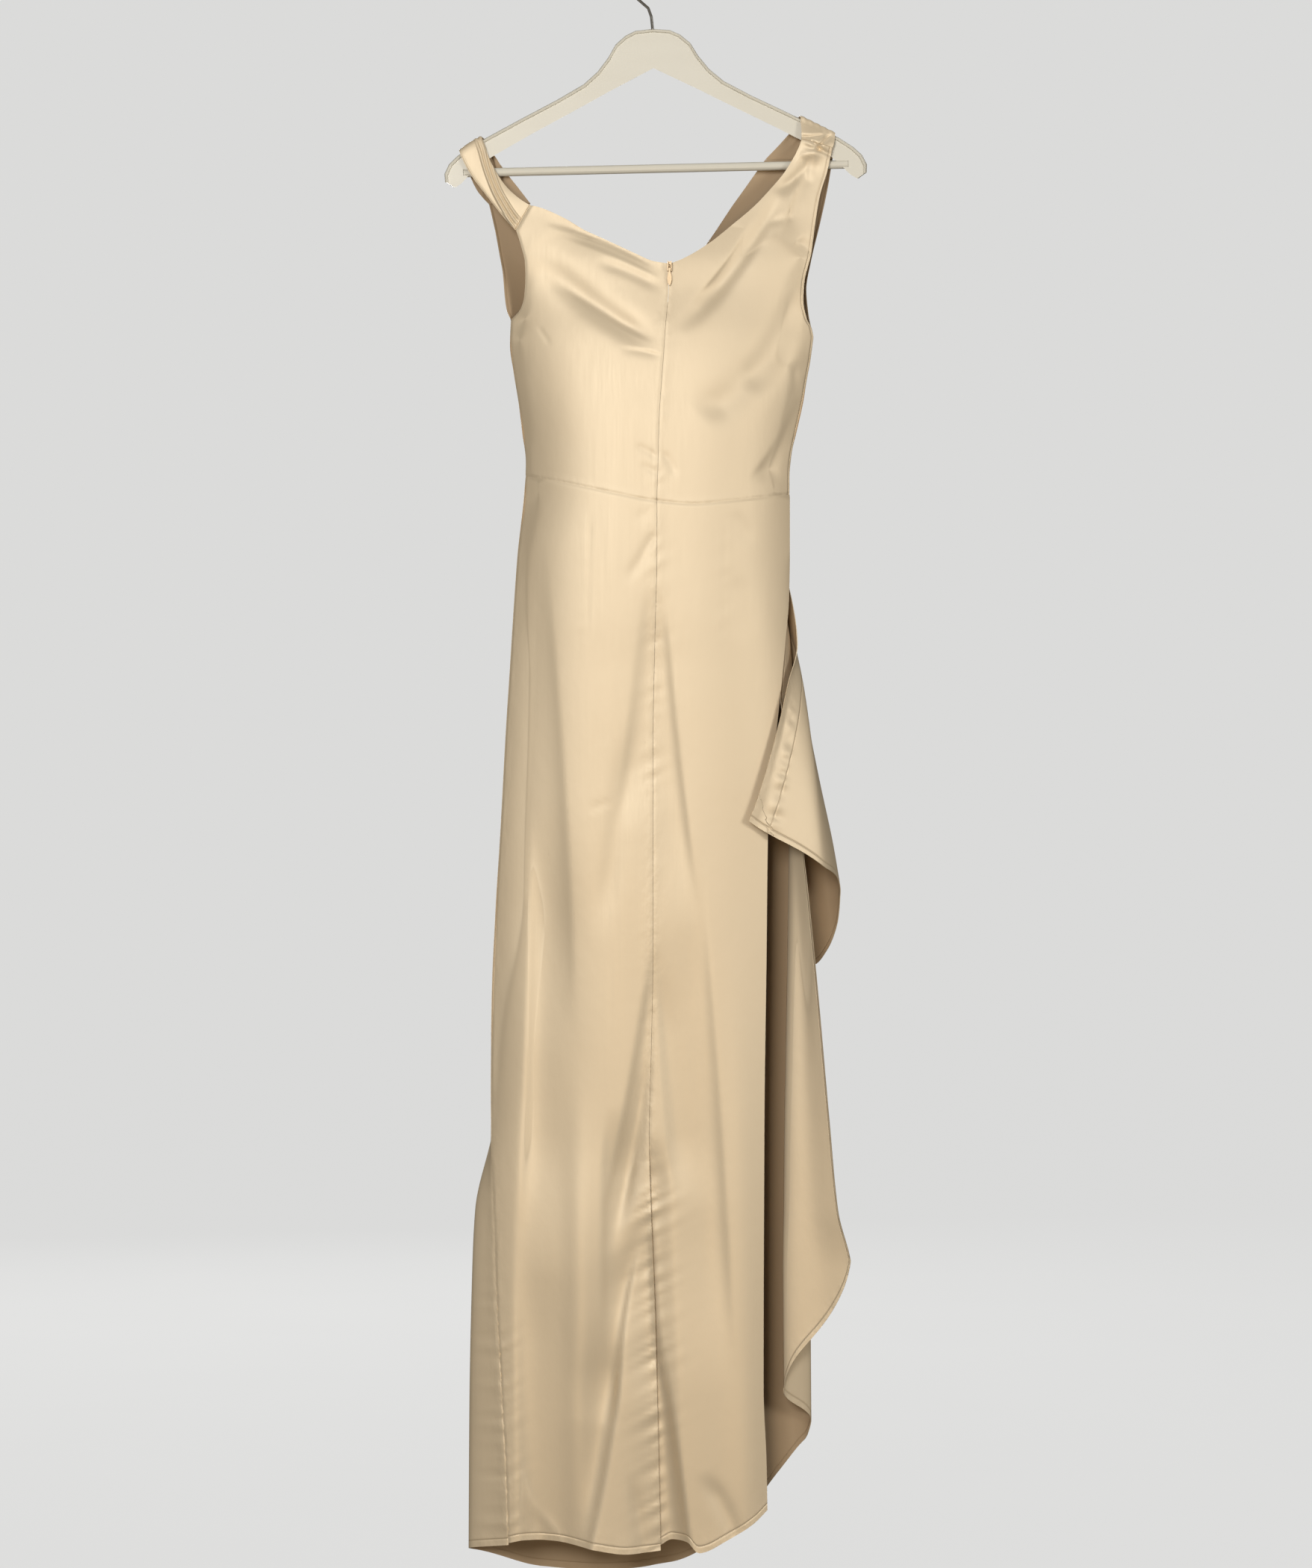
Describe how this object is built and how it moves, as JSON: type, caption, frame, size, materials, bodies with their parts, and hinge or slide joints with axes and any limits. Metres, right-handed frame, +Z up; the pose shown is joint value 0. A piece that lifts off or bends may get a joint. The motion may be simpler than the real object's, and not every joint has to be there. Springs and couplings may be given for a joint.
{
  "type": "draped satin evening dress on a clothes hanger",
  "caption": "Floor-length satin evening dress with a V neck, one knotted shoulder, side drape, cascade and back zip, hanging on a wooden clothes hanger.",
  "frame": {"origin": "the highest point inside the hook, where a rail holds it", "axes": "+X along the hanger, +Z up, and the back of the dress with its zip faces -Y"},
  "size_m": [0.4399, 0.1, 1.676],
  "materials": {
    "satin": "smooth champagne satin with a soft sheen",
    "satin_drape": "smooth champagne satin with a soft sheen",
    "satin_strap": "smooth champagne satin with a soft sheen",
    "painted_wood": "cream satin paint",
    "steel_wire": "bright drawn wire",
    "lacquered_metal": "champagne lacquer"
  },
  "bodies": {
    "dress": {"bodice_back_left": "satin", "bodice_back_right": "satin", "bodice_front": "satin", "skirt_back_left": "satin", "skirt_back_right": "satin", "skirt_front": "satin", "hip_drape": "satin_drape", "strap_left": "satin_strap", "shoulder_right": "satin_strap", "hanger_body": "painted_wood", "hanger_bar": "painted_wood", "hanger_hook": "steel_wire", "zip_slider": "lacquered_metal"},
    "zip_pull": {"zip_pull": "lacquered_metal"}
  },
  "joints": [
    {"name": "pull_swing", "type": "hinge", "parent": "dress", "child": "zip_pull", "pos_m": [0.019, -0.0315, -0.315], "axis": [-1, 0, 0], "range_deg": [0, 165]}
  ]
}
